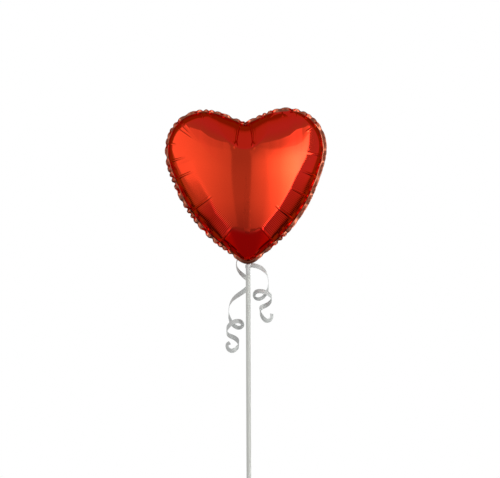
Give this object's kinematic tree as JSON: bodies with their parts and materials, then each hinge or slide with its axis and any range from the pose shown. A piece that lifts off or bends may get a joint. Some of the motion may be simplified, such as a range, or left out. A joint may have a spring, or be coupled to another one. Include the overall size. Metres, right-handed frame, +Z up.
{
  "type": "heart balloon",
  "caption": "Heart-shaped foil balloon, inflated, with a welded rim, standing on a hollow plastic stick and tied on with a curling ribbon whose two ends hang in curls.",
  "frame": {"origin": "centre of the stick's lower end face", "axes": "+Z up along the stick, +X to the viewer's right, the balloon's front faces -Y"},
  "size_m": [0.1936, 0.088, 0.5197],
  "materials": {
    "red_foil": "gloss",
    "valve_film": "satin",
    "stick_plastic": "satin",
    "grey_ribbon": "satin"
  },
  "bodies": {
    "stick": {"stick": "stick_plastic"},
    "tie": {"neck_front_film": "red_foil", "neck_back_film": "red_foil", "ribbon_wrap": "grey_ribbon", "ribbon_knot": "grey_ribbon", "ribbon_lead_left": "grey_ribbon", "ribbon_lead_right": "grey_ribbon", "ribbon_curl_left": "grey_ribbon", "ribbon_curl_right": "grey_ribbon"},
    "heart": {"front_film": "red_foil", "back_film": "red_foil", "valve_front_film": "valve_film", "valve_back_film": "valve_film"}
  },
  "joints": [
    {"name": "heart_swivel", "type": "hinge", "parent": "stick", "child": "tie", "pos_m": [0, 0, 0.324], "axis": [0, 0, 1], "continuous": true},
    {"name": "heart_nod", "type": "hinge", "parent": "tie", "child": "heart", "pos_m": [0, 0, 0.331], "axis": [1, 0, 0], "range_deg": [-8, 25]}
  ]
}
